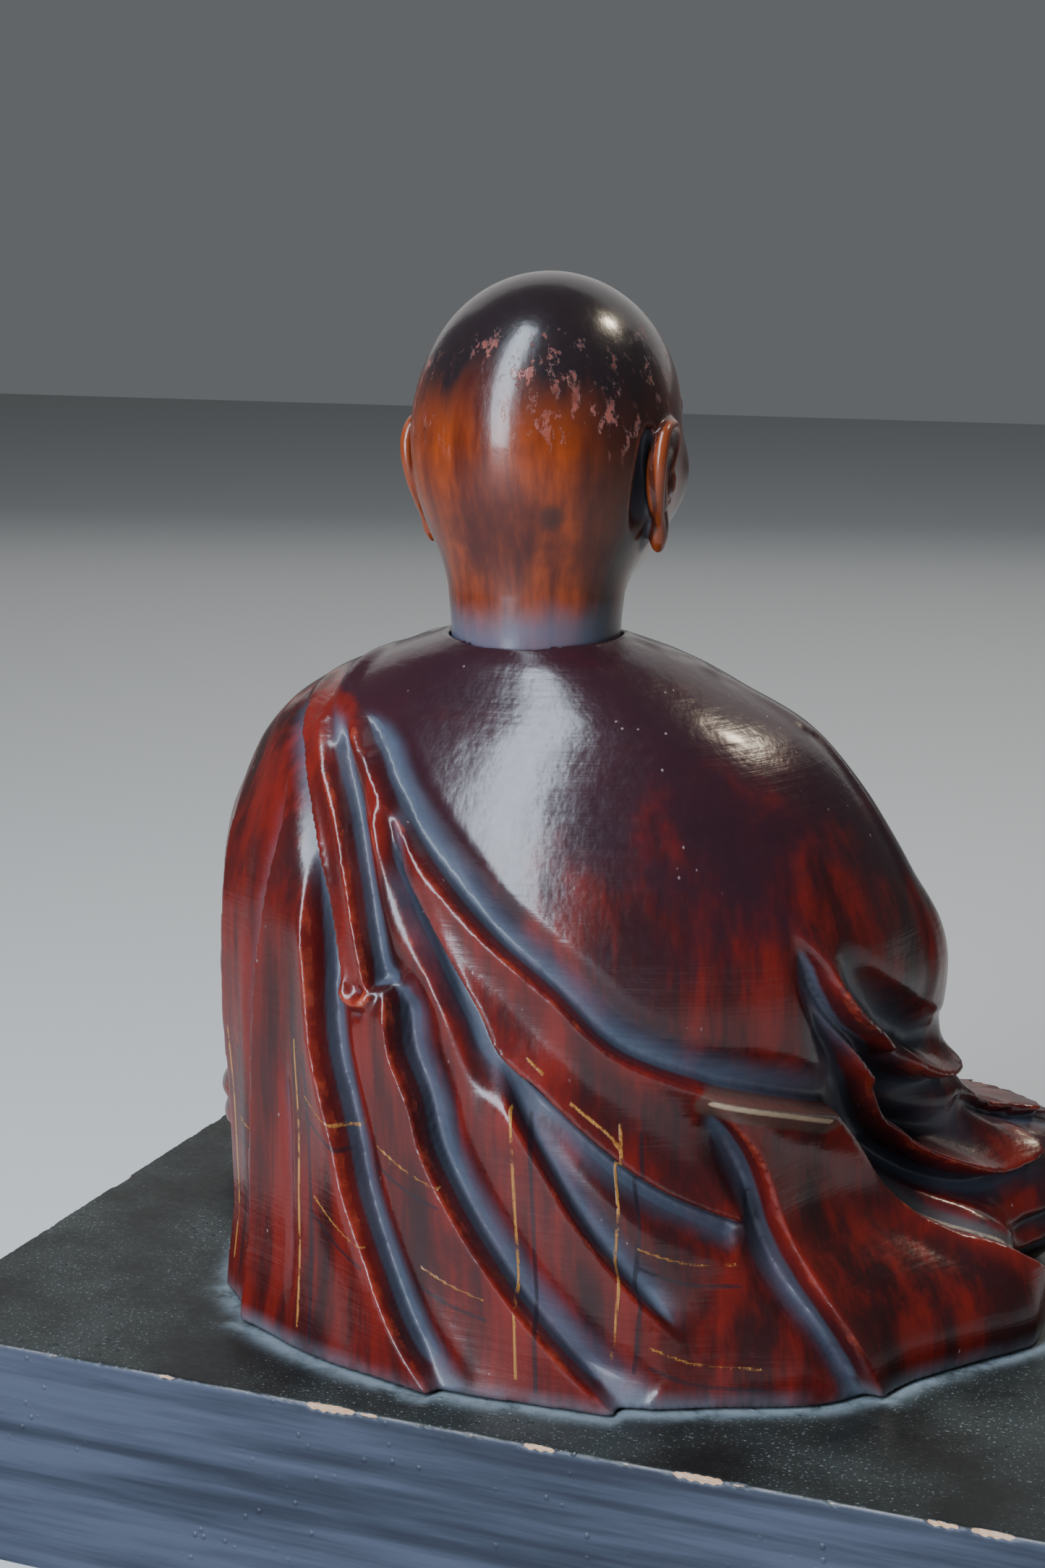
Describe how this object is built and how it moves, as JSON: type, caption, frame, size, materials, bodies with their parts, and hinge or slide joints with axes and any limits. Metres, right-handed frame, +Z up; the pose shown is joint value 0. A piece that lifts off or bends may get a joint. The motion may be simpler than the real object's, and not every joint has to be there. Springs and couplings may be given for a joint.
{
  "type": "seated monk statue on a plinth",
  "caption": "Seated shaven-headed monk in carved lacquered wood, hands in lap, robe draped over the left shoulder, head and figure lifting off a hollow plinth.",
  "frame": {"origin": "centre of the plinth's underside", "axes": "+Z up, the figure faces -Y and its own left side is +X"},
  "size_m": [0.24, 0.17, 0.26],
  "materials": {
    "robe_lacquer": "dark brown and black lacquer over red, worn on the folds",
    "skin_lacquer": "amber-brown translucent lacquer, blackened on the crown",
    "plinth_lacquer": "black lacquer, chipped to bare wood along the arris",
    "bare_wood": "planed cypress, unfinished",
    "forged_iron": "forged, lightly rusted"
  },
  "bodies": {
    "plinth": {"corner_block_back_left": "bare_wood", "corner_block_back_right": "bare_wood", "corner_block_front_left": "bare_wood", "corner_block_front_right": "bare_wood", "locating_peg_left": "bare_wood", "locating_peg_right": "bare_wood", "plinth_back_board": "plinth_lacquer", "plinth_front_board": "plinth_lacquer", "plinth_left_board": "plinth_lacquer", "plinth_right_board": "plinth_lacquer", "plinth_top_board": "plinth_lacquer"},
    "figure": {"base_board": "bare_wood", "hand_left": "skin_lacquer", "hand_right": "skin_lacquer", "iron_staple_knee_left": "forged_iron", "iron_staple_knee_right": "forged_iron", "iron_staple_side_left": "forged_iron", "iron_staple_side_right": "forged_iron", "knee_block": "robe_lacquer", "knee_dowel_left": "bare_wood", "knee_dowel_right": "bare_wood", "side_block_left": "robe_lacquer", "side_block_right": "robe_lacquer", "side_dowel_left_lower": "bare_wood", "side_dowel_left_upper": "bare_wood", "side_dowel_right_lower": "bare_wood", "side_dowel_right_upper": "bare_wood", "sleeve_block_left": "robe_lacquer", "sleeve_block_right": "robe_lacquer", "trunk_back": "robe_lacquer", "trunk_front": "robe_lacquer"},
    "head": {"face_pin_left": "bare_wood", "face_pin_right": "bare_wood", "head_back": "skin_lacquer", "head_face": "skin_lacquer"}
  },
  "joints": [
    {"name": "figure_lift", "type": "slide", "parent": "plinth", "child": "figure", "axis": [0, 0, 1], "range_m": [0, 0.014]},
    {"name": "head_lift", "type": "slide", "parent": "figure", "child": "head", "axis": [0, 0, 1], "range_m": [0, 0.032]}
  ]
}
